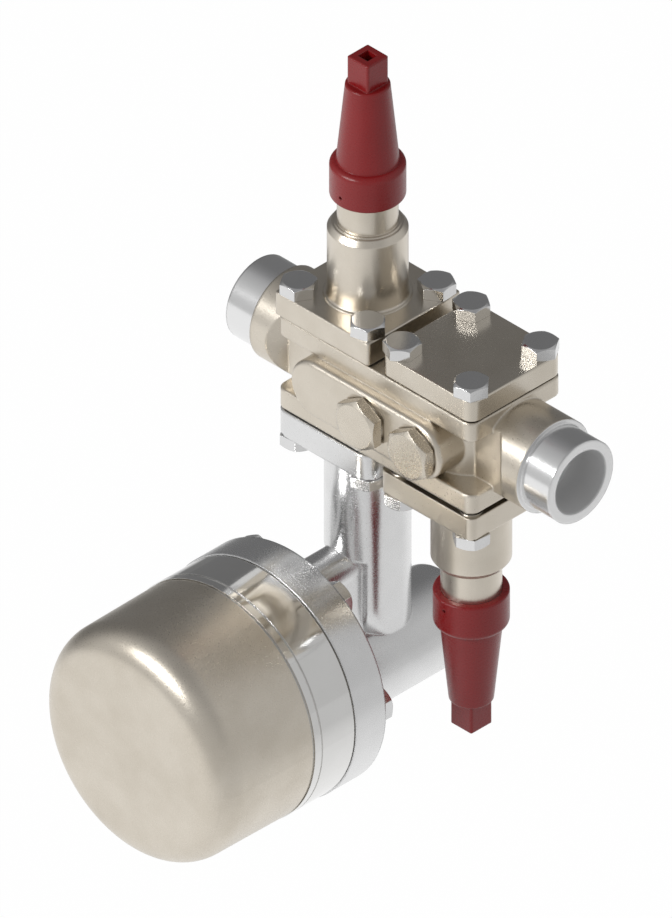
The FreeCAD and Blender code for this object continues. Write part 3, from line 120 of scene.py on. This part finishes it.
def blend_of(tree, amount, first, second, kind="RGBA"):
    """A mix of two colours or two numbers, each a value or another node's output."""
    node = tree.nodes.new("ShaderNodeMix")
    node.data_type = kind
    tree.links.new(amount, node.inputs[0])
    sockets = (6, 7) if kind == "RGBA" else (2, 3)
    for index, tone in zip(sockets, (first, second)):
        if isinstance(tone, tuple):
            node.inputs[index].default_value = (*tone, 1.0)
        elif isinstance(tone, float):
            node.inputs[index].default_value = tone
        else:
            tree.links.new(tone, node.inputs[index])
    return node.outputs[2 if kind == "RGBA" else 0]


def relief(tree, height, depth, under=None):
    """A bump of real depth, in metres, over an optional other normal."""
    node = tree.nodes.new("ShaderNodeBump")
    node.inputs["Distance"].default_value = depth
    tree.links.new(height, node.inputs["Height"])
    if under:
        tree.links.new(under, node.inputs["Normal"])
    return node.outputs["Normal"]


def eased_edge(tree, radius):
    """The normal of edges and creases eased to a small radius."""
    node = tree.nodes.new("ShaderNodeBevel")
    node.samples = 6
    node.inputs["Radius"].default_value = radius
    return node.outputs["Normal"]


def wear(material, *nodes):
    """Give a finish to CAD nodes."""
    for name in nodes:
        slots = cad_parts[name].data.materials
        slots.clear()
        slots.append(material)


def coated_shade(tree, place):
    """The coat's colour, with a slow mottle and a fine speckle."""
    mottle = grain(tree, place, MOTTLE_SIZE, 3.0)
    speckle = grain(tree, place, SPECK_SIZE, 1.0)
    cloudy = blend_of(tree, spread(tree, mottle, 0.0, 1.0), COAT_SHADE, COAT_LIGHT)
    return blend_of(tree, spread(tree, speckle, 0.0, SPECK_SHARE, 0.5, 0.8), cloudy, COAT_SPECK)


def housing_finish():
    """The coat on the casting, and bright turned steel at the weld ends and in their bores."""
    material, tree, shader, place = new_finish("coated_casting")
    sand = grain(tree, place, 0.0008, 2.0)
    split = tree.nodes.new("ShaderNodeSeparateXYZ")
    tree.links.new(place, split.inputs[0])
    off_middle = reckon(tree, "ABSOLUTE", reckon(tree, "SUBTRACT", split.outputs["X"], PIPE_MIDDLE), 0.0)
    off_axis = reckon(tree, "POWER", reckon(tree, "ADD", reckon(tree, "POWER", split.outputs["Y"], 2.0),
                                            reckon(tree, "POWER", split.outputs["Z"], 2.0)), 0.5)
    at_end = reckon(tree, "GREATER_THAN", off_middle, MACHINED_FROM)
    in_bore = reckon(tree, "MULTIPLY", reckon(tree, "LESS_THAN", off_axis, BORE_RADIUS),
                     reckon(tree, "GREATER_THAN", off_middle, BORE_FROM))
    turned = reckon(tree, "MAXIMUM", at_end, in_bore)
    lines = grain(tree, place, 0.0009, 3.0, (6.0, 0.4, 0.4))
    tree.links.new(blend_of(tree, in_bore, 1.0, BORE_METAL, "FLOAT"), shader.inputs["Metallic"])
    tree.links.new(blend_of(tree, turned, coated_shade(tree, place), BRIGHT), shader.inputs["Base Color"])
    rough = blend_of(tree, turned, spread(tree, sand, 0.27, 0.38), spread(tree, lines, 0.14, 0.24), "FLOAT")
    rough = blend_of(tree, in_bore, rough, BORE_ROUGHNESS, "FLOAT")
    tree.links.new(rough, shader.inputs["Roughness"])
    rise = blend_of(tree, turned, sand, spread(tree, lines, 0.45, 0.55, 0.0, 1.0), "FLOAT")
    tree.links.new(relief(tree, rise, CAST_RELIEF, eased_edge(tree, CAST_EDGE)), shader.inputs["Normal"])
    return material


wear(housing_finish(), "valve_housing")


# Bonnets, the plain cover and the side plugs: cast or forged like the housing, with the
# same coat. The bonnets were turned first, so faint rings run round their barrels.
SAND_SHARE = 0.6
TOOL_MARK_SHARE = 0.4


def coated_turning(name, roughness, rings, depth, edge):
    """The coat over turned steel; rings draws the grain out round an axis."""
    material, tree, shader, place = new_finish(name)
    sand = grain(tree, place, 0.0009, 2.0)
    tool_marks = grain(tree, place, 0.0016, 3.0, rings)
    shader.inputs["Metallic"].default_value = 1.0
    tree.links.new(coated_shade(tree, place), shader.inputs["Base Color"])
    uneven = reckon(tree, "ADD", reckon(tree, "MULTIPLY", sand, SAND_SHARE),
                    reckon(tree, "MULTIPLY", tool_marks, TOOL_MARK_SHARE))
    tree.links.new(spread(tree, uneven, roughness - 0.02, roughness + 0.03), shader.inputs["Roughness"])
    tree.links.new(relief(tree, uneven, depth, eased_edge(tree, edge)), shader.inputs["Normal"])
    return material


wear(coated_turning("coated_turning", 0.29, (0.25, 0.25, 3.0), 0.00002, 0.0010),
     "inlet_valve_bonnet", "outlet_valve_bonnet")
wear(coated_turning("coated_forging", 0.27, (1.0, 1.0, 1.0), 0.000003, 0.0006),
     "check_valve_cover", "service_plug", "outlet_side_plug")


# Gaskets: thin dark fibre sheet between the square flanges, whose edges just show in the
# joints, and the packing rings inside the bonnets.
def fibre_sheet():
    """Dark matt fibre with strands that run one way."""
    material, tree, shader, place = new_finish("fibre_sheet")
    fibres = grain(tree, place, 0.0012, 4.0, (1.0, 0.3, 1.0))
    tree.links.new(blend_of(tree, fibres, (0.010, 0.010, 0.010), (0.035, 0.034, 0.032)),
                   shader.inputs["Base Color"])
    shader.inputs["Roughness"].default_value = 0.8
    tree.links.new(relief(tree, fibres, 0.00005), shader.inputs["Normal"])
    return material


wear(fibre_sheet(), "inlet_valve_gasket", "outlet_valve_gasket", "check_valve_gasket", "drain_gasket",
     "inlet_valve_packing", "outlet_valve_packing")


# Bolts, screws, the lever's pivot pin and sealing washers: cold formed steel, bright and
# smooth, with flat tops that mirror the dark ceiling. The washers are duller.
def bright_steel(name, tone, shade, roughness, depth, edge, size=0.0008, stretch=None):
    """Machined or cold formed steel with faint tool lines."""
    material, tree, shader, place = new_finish(name)
    lines = grain(tree, place, size, 3.0, stretch)
    cloud = grain(tree, place, 0.012, 2.0)
    shader.inputs["Metallic"].default_value = 1.0
    tree.links.new(blend_of(tree, cloud, shade, tone), shader.inputs["Base Color"])
    tree.links.new(spread(tree, lines, roughness - 0.04, roughness + 0.05), shader.inputs["Roughness"])
    tree.links.new(relief(tree, lines, depth, eased_edge(tree, edge)), shader.inputs["Normal"])
    return material


wear(bright_steel("bolt_steel", (0.76, 0.76, 0.76), (0.68, 0.68, 0.68), 0.17, 0.000004, 0.0004),
     "inlet_valve_bolts", "outlet_valve_bolts", "check_valve_bolts", "drain_bolts", "float_chamber_bolts",
     "bracket_screws", "pivot_pin")
wear(bright_steel("washer_steel", (0.60, 0.57, 0.52), (0.50, 0.47, 0.42), 0.30, 0.00001, 0.0002),
     "service_plug_washer", "outlet_side_plug_washer", "float_chamber_gasket", "inlet_valve_cap_washer",
     "outlet_valve_cap_washer")


# Seal caps: moulded red plastic, a little glossy, with the faint unevenness of moulding.
# The square on top takes a wrench and its socket a key.
def moulded_red():
    """Deep red plastic with a slightly uneven skin."""
    material, tree, shader, place = new_finish("moulded_red")
    cloud = grain(tree, place, 0.02, 2.0)
    skin = grain(tree, place, 0.0014, 3.0)
    tree.links.new(blend_of(tree, cloud, (0.205, 0.0045, 0.0055), (0.26, 0.007, 0.009)),
                   shader.inputs["Base Color"])
    tree.links.new(spread(tree, skin, 0.24, 0.34), shader.inputs["Roughness"])
    tree.links.new(relief(tree, skin, 0.00003, eased_edge(tree, 0.0009)), shader.inputs["Normal"])
    shader.inputs["Specular IOR Level"].default_value = 0.5
    return material


wear(moulded_red(), "inlet_valve_cap", "outlet_valve_cap")


# Float drain casting: square flange, oval riser column, barrel and round flange, cast in
# one piece of steel and blasted bright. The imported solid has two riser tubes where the
# real casting has one oval column, so this piece shows that casting with its column.
COLUMN_X = 0.07125
COLUMN_RADIUS = 0.0162
COLUMN_STEP = 0.00565
COLUMN_TOP = -0.0395
COLUMN_FOOT = -0.1016
COLUMN_BASE = -0.1485
FOOT_ROUNDING = 0.0025
FOOT_STEPS = 8
LOWER_FRONT = -0.0142
LOWER_FRONT_SHARE = 0.02
LOWER_STEPS = 16
ROUND_FROM = -0.128
ROUND_AT = -0.158
CONNECTION_LEVEL = -0.107
CONNECTION_RADIUS = 0.01082
CONNECTION_BACK = 0.0138
BARREL_LEVEL = -0.165
BARREL_RADIUS = 0.0243
BARREL_ROOM = 0.03
BARREL_SUNK = 0.0003
FLANGE_FOOT = -0.0405
INSIDE_FLANGE = -0.052
WEB_HALF = 0.0107
WEB_RAISED = 0.0005
TUBE_ROOM = (0.0195, -0.0500, 0.0335)
REACH_PAST = 0.001
WELD_WITHIN = 0.000001
SHARP_FROM = 32.0
RING_POINTS = 128


def scratch_solid(build):
    """A scratch object with the closed mesh that a function builds."""
    shell = bmesh.new()
    build(shell)
    bmesh.ops.recalc_face_normals(shell, faces=shell.faces[:])
    mesh = bpy.data.meshes.new("scratch")
    shell.to_mesh(mesh)
    shell.free()
    scratch = bpy.data.objects.new("scratch", mesh)
    bpy.context.scene.collection.objects.link(scratch)
    return scratch


def carved(first, operation, second):
    """The scratch object left after one is cut by, or joined with, another."""
    change = first.modifiers.new("change", "BOOLEAN")
    change.operation = operation
    change.solver = "EXACT"
    change.object = second
    mesh = bpy.data.meshes.new_from_object(first.evaluated_get(bpy.context.evaluated_depsgraph_get()))
    for used in (first, second):
        bpy.data.objects.remove(used)
    result = bpy.data.objects.new("scratch", mesh)
    bpy.context.scene.collection.objects.link(result)
    return result


def packed_casting(shell):
    """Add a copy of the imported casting, with the corners that its faces share welded."""
    shell.from_mesh(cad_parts["drain_casting"].data)
    bmesh.ops.remove_doubles(shell, verts=shell.verts[:], dist=WELD_WITHIN)


def box_between(low, high):
    """A function that builds a box between two corners."""
    size = [b - a for a, b in zip(low, high)]
    place = Matrix.LocRotScale([(a + b) / 2 for a, b in zip(low, high)], None, size)
    return lambda shell: bmesh.ops.create_cube(shell, size=1.0, matrix=place)


def bar_along_y(radius, front, back, level):
    """A function that builds a round bar along Y on the column's middle line."""
    middle = Vector((COLUMN_X, (front + back) / 2, level))
    place = Matrix.Translation(middle) @ Matrix.Rotation(math.pi / 2, 4, "X")
    return lambda shell: bmesh.ops.create_cone(shell, cap_ends=True, segments=RING_POINTS, radius1=radius,
                                               radius2=radius, depth=back - front, matrix=place)


def oval_ring(shell, keep, level):
    """Add one level ring of corners round the column.

    The ring is oval above and round at the barrel. In front of the lower front, only the share keep is left.
    """
    ring = []
    lowered = min(max((ROUND_FROM - level) / (ROUND_FROM - ROUND_AT), 0.0), 1.0)
    front_middle = COLUMN_STEP * (2.0 * lowered * lowered * (3.0 - 2.0 * lowered) - 1.0)
    for step in range(RING_POINTS):
        turn = 2.0 * math.pi * (step + 0.5) / RING_POINTS
        middle = COLUMN_STEP if math.sin(turn) > 0.0 else front_middle
        y = middle + COLUMN_RADIUS * math.sin(turn)
        if y < LOWER_FRONT:
            y = LOWER_FRONT + (y - LOWER_FRONT) * keep
        ring.append(shell.verts.new((COLUMN_X + COLUMN_RADIUS * math.cos(turn), y, level)))
    return ring


def oval_column(shell):
    """Add the column: its front ends in a rounded foot over the connection, the rest goes on down."""
    front = COLUMN_RADIUS + COLUMN_STEP + LOWER_FRONT
    rings = [oval_ring(shell, 1.0, COLUMN_TOP)]
    for step in range(FOOT_STEPS + 1):
        turn = 0.5 * math.pi * step / FOOT_STEPS
        rings.append(oval_ring(shell, 1.0 - FOOT_ROUNDING * (1.0 - math.cos(turn)) / front,
                               COLUMN_FOOT + FOOT_ROUNDING * (1.0 - math.sin(turn))))
    rings.append(oval_ring(shell, LOWER_FRONT_SHARE, COLUMN_FOOT))
    for step in range(1, LOWER_STEPS + 1):
        level = COLUMN_FOOT + (COLUMN_BASE - COLUMN_FOOT) * step / LOWER_STEPS
        rings.append(oval_ring(shell, LOWER_FRONT_SHARE, level))
    for upper, lower in zip(rings, rings[1:]):
        for step in range(RING_POINTS):
            shell.faces.new((upper[step], lower[step], lower[step - 1], upper[step - 1]))
    shell.faces.new(rings[0])
    shell.faces.new(rings[-1])


def drain_casting_shown():
    """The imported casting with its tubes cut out, and the barrel's top, column, web and connection added."""
    side, front, back = TUBE_ROOM
    tubes = box_between((COLUMN_X - side, front, COLUMN_BASE), (COLUMN_X + side, back, FLANGE_FOOT))
    below = box_between((COLUMN_X - BARREL_ROOM, INSIDE_FLANGE - REACH_PAST, BARREL_LEVEL - BARREL_ROOM),
                        (COLUMN_X + BARREL_ROOM, back + 2 * REACH_PAST, COLUMN_BASE - BARREL_SUNK))
    barrel = bar_along_y(BARREL_RADIUS, INSIDE_FLANGE, back + REACH_PAST, BARREL_LEVEL)
    barrel_top = carved(scratch_solid(barrel), "DIFFERENCE", scratch_solid(below))
    web = box_between((COLUMN_X - WEB_HALF, INSIDE_FLANGE, COLUMN_BASE + WEB_RAISED),
                      (COLUMN_X + WEB_HALF, 0.0, CONNECTION_LEVEL))
    connection = bar_along_y(CONNECTION_RADIUS, INSIDE_FLANGE, CONNECTION_BACK, CONNECTION_LEVEL)
    piece = carved(scratch_solid(packed_casting), "DIFFERENCE", scratch_solid(tubes))
    piece = carved(piece, "UNION", barrel_top)
    for added in (oval_column, web, connection):
        piece = carved(piece, "UNION", scratch_solid(added))
    piece.name = piece.data.name = "drain_casting_shown"
    mesh = piece.data
    if "custom_normal" in mesh.attributes:
        mesh.attributes.remove(mesh.attributes["custom_normal"])
    for face in mesh.polygons:
        face.use_smooth = True
    mesh.set_sharp_from_angle(angle=math.radians(SHARP_FROM))
    mesh.materials.clear()
    mesh.materials.append(bright_steel("blasted_steel", (0.78, 0.78, 0.78), (0.70, 0.70, 0.70),
                                       0.24, 0.00002, 0.0016, 0.0007))
    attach(piece, "station")
    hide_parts("drain_casting")


drain_casting_shown()


# Clamp ring: turned and polished, so it mirrors its surroundings sharply. Fine turning
# lines run round it.
wear(bright_steel("polished_steel", (0.76, 0.755, 0.745), (0.72, 0.715, 0.70),
                  0.09, 0.000003, 0.0003, 0.0012, (0.3, 8.0, 0.3)),
     "float_chamber_ring")


# Float chamber cover: a drawn steel cup with the housing's coat, satin with a fine even
# grain that shows in its highlights.
def coated_cup():
    """The housing's coat over fine smooth steel."""
    material, tree, shader, place = new_finish("coated_cup")
    sand = grain(tree, place, 0.0006, 2.0)
    shader.inputs["Metallic"].default_value = 1.0
    tree.links.new(coated_shade(tree, place), shader.inputs["Base Color"])
    tree.links.new(spread(tree, sand, 0.26, 0.38), shader.inputs["Roughness"])
    tree.links.new(relief(tree, sand, 0.00005, eased_edge(tree, 0.0006)), shader.inputs["Normal"])
    return material


wear(coated_cup(), "float_chamber_cover")


# Inner pieces: turned steel spindles, cones and glands, the check valve insert and
# spring, and the float with its lever, bracket, seat and slide. Covers and caps hide them.
wear(bright_steel("turned_steel", (0.70, 0.70, 0.70), (0.62, 0.62, 0.62),
                  0.20, 0.000006, 0.0003, 0.0008, (0.3, 0.3, 6.0)),
     "inlet_valve_spindle", "outlet_valve_spindle", "inlet_valve_cone", "outlet_valve_cone",
     "inlet_valve_gland", "outlet_valve_gland", "check_valve_insert", "check_valve_spring", "float_ball",
     "float_lever", "lever_bracket", "drain_seat", "drain_slide")


# Soft seals: a ring of white sealing plastic in the cone of each stop valve, and the
# check valve disc, which is made of the same plastic.
def seal_plastic():
    """White plastic, a little cloudy."""
    material, tree, shader, place = new_finish("seal_plastic")
    cloud = grain(tree, place, 0.004, 2.0)
    tree.links.new(blend_of(tree, cloud, (0.72, 0.70, 0.64), (0.80, 0.78, 0.72)),
                   shader.inputs["Base Color"])
    shader.inputs["Roughness"].default_value = 0.45
    return material


wear(seal_plastic(), "inlet_valve_cone_seal", "outlet_valve_cone_seal", "check_valve_disc")


# The studio: a white floor well below, whose glow as metal mirrors it is painted dimmer towards the right, a
# grey ceiling that the flat tops mirror, and one soft lamp. The camera is parallel, 45 degrees round and 35
# up.
FLOOR_DROP = 0.30
FLOOR_SIDE = 8.0
FLOOR_SEEN = 0.99
DIM_TO_RIGHT = (1.0, 0.66, 0.15, 0.95)
DIM_BEHIND = (1.0, 0.20, 0.8, 1.9)
WALL_TONE = (0.60, 0.60, 0.60)
FAR_TONE = (0.18, 0.18, 0.182)
NEAR_WALL_SHARE = -0.8
LAMP_SLIMNESS = 5.0
CAMERA_DISTANCE = 1.5
CAMERA_REACH = 20.0


def studio_floor():
    """A white floor whose glow, as metal mirrors it, is painted dimmer towards the right and far behind."""
    low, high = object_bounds()
    bpy.ops.mesh.primitive_plane_add(size=FLOOR_SIDE, location=(0.0, 0.0, low[2] - FLOOR_DROP))
    floor = bpy.context.object
    floor.name = "studio_floor"
    material, tree, shader, place = new_finish("studio_floor")
    shader.inputs["Base Color"].default_value = (0.85, 0.85, 0.85, 1.0)
    shader.inputs["Roughness"].default_value = 0.9
    shader.inputs["Specular IOR Level"].default_value = 0.0
    ray = tree.nodes.new("ShaderNodeLightPath").outputs
    split = tree.nodes.new("ShaderNodeSeparateXYZ")
    tree.links.new(place, split.inputs[0])
    # Painted falloff of light: the glow that reflections see is made dimmer towards the right and far behind;
    # the camera sees it evenly white.
    behind = reckon(tree, "SUBTRACT", split.outputs["Y"], split.outputs["X"])
    to_right = spread(tree, split.outputs["X"], *DIM_TO_RIGHT)
    painted_falloff = reckon(tree, "MULTIPLY", to_right, spread(tree, behind, *DIM_BEHIND))
    mirrored = reckon(tree, "MAXIMUM", ray["Is Glossy Ray"], ray["Is Transmission Ray"])
    glow = tree.nodes.new("ShaderNodeEmission")
    tree.links.new(blend_of(tree, mirrored, 1.0, painted_falloff, "FLOAT"), glow.inputs["Strength"])
    seen = reckon(tree, "MULTIPLY", reckon(tree, "MAXIMUM", ray["Is Camera Ray"], mirrored), FLOOR_SEEN)
    mix = tree.nodes.new("ShaderNodeMixShader")
    tree.links.new(seen, mix.inputs[0])
    tree.links.new(shader.outputs[0], mix.inputs[1])
    tree.links.new(glow.outputs[0], mix.inputs[2])
    tree.links.new(mix.outputs[0], tree.nodes["Material Output"].inputs["Surface"])
    floor.data.materials.append(material)
    floor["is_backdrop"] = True


studio_floor()


def studio_world():
    """White at the horizon, grey overhead, light walls to the sides and a dark one on the far side."""
    world = bpy.data.worlds.new("studio")
    bpy.context.scene.world = world
    world.use_nodes = True
    tree = world.node_tree
    background = tree.nodes["Background"]
    direction = tree.nodes.new("ShaderNodeTexCoord").outputs["Generated"]
    split = tree.nodes.new("ShaderNodeSeparateXYZ")
    tree.links.new(direction, split.inputs[0])
    ramp = tree.nodes.new("ShaderNodeValToRGB")
    ramp.color_ramp.elements[0].position = 0.0
    ramp.color_ramp.elements[0].color = (0.85, 0.85, 0.85, 1.0)
    ramp.color_ramp.elements[1].position = 0.22
    ramp.color_ramp.elements[1].color = (0.19, 0.19, 0.195, 1.0)
    overhead = ramp.color_ramp.elements.new(0.95)
    overhead.color = (0.34, 0.34, 0.345, 1.0)
    tree.links.new(split.outputs["Z"], ramp.inputs[0])
    sideways = reckon(tree, "ABSOLUTE", reckon(tree, "ADD", split.outputs["X"], split.outputs["Y"]), 0.0)
    away = reckon(tree, "SUBTRACT", split.outputs["Y"], split.outputs["X"])
    near_side = reckon(tree, "MAXIMUM", sideways, reckon(tree, "MULTIPLY", away, NEAR_WALL_SHARE))
    walls = blend_of(tree, spread(tree, near_side, 0.0, 1.0, 0.35, 1.15), ramp.outputs[0], WALL_TONE)
    far_side = spread(tree, away, 0.0, 1.0, 0.5, 1.05)
    tree.links.new(blend_of(tree, far_side, walls, FAR_TONE), background.inputs["Color"])
    background.inputs["Strength"].default_value = 1.0


studio_world()


def soft_lamp(name, direction, distance, size, power):
    """A long soft lamp that looks at the middle of the station from one direction."""
    low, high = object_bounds()
    middle = (Vector(low) + Vector(high)) / 2
    away = Vector(direction).normalized()
    data = bpy.data.lights.new(name, "AREA")
    data.shape = "RECTANGLE"
    data.size = size
    data.size_y = size / LAMP_SLIMNESS
    data.energy = power
    lamp = bpy.data.objects.new(name, data)
    bpy.context.scene.collection.objects.link(lamp)
    lamp.location = middle + away * distance
    lamp.rotation_euler = away.to_track_quat("Z", "Y").to_euler()


soft_lamp("key_lamp", (-0.20, -0.77, 0.50), 1.2, 0.75, 7.0)

VIEW_HEIGHT = 0.4230
VIEW_CENTRE = Vector((0.05592, -0.00534, -0.06126))
TOWARDS_CAMERA = Vector((1.0, -1.0, 1.0)).normalized()

camera_data = bpy.data.cameras.new("photo_camera")
camera_data.type = "ORTHO"
camera_data.ortho_scale = VIEW_HEIGHT
camera_data.clip_end = CAMERA_REACH
camera = bpy.data.objects.new("photo_camera", camera_data)
bpy.context.scene.collection.objects.link(camera)
camera.location = VIEW_CENTRE + TOWARDS_CAMERA * CAMERA_DISTANCE
camera.rotation_euler = TOWARDS_CAMERA.to_track_quat("Z", "Y").to_euler()
bpy.context.scene.camera = camera
bpy.context.scene.view_settings.view_transform = "Standard"
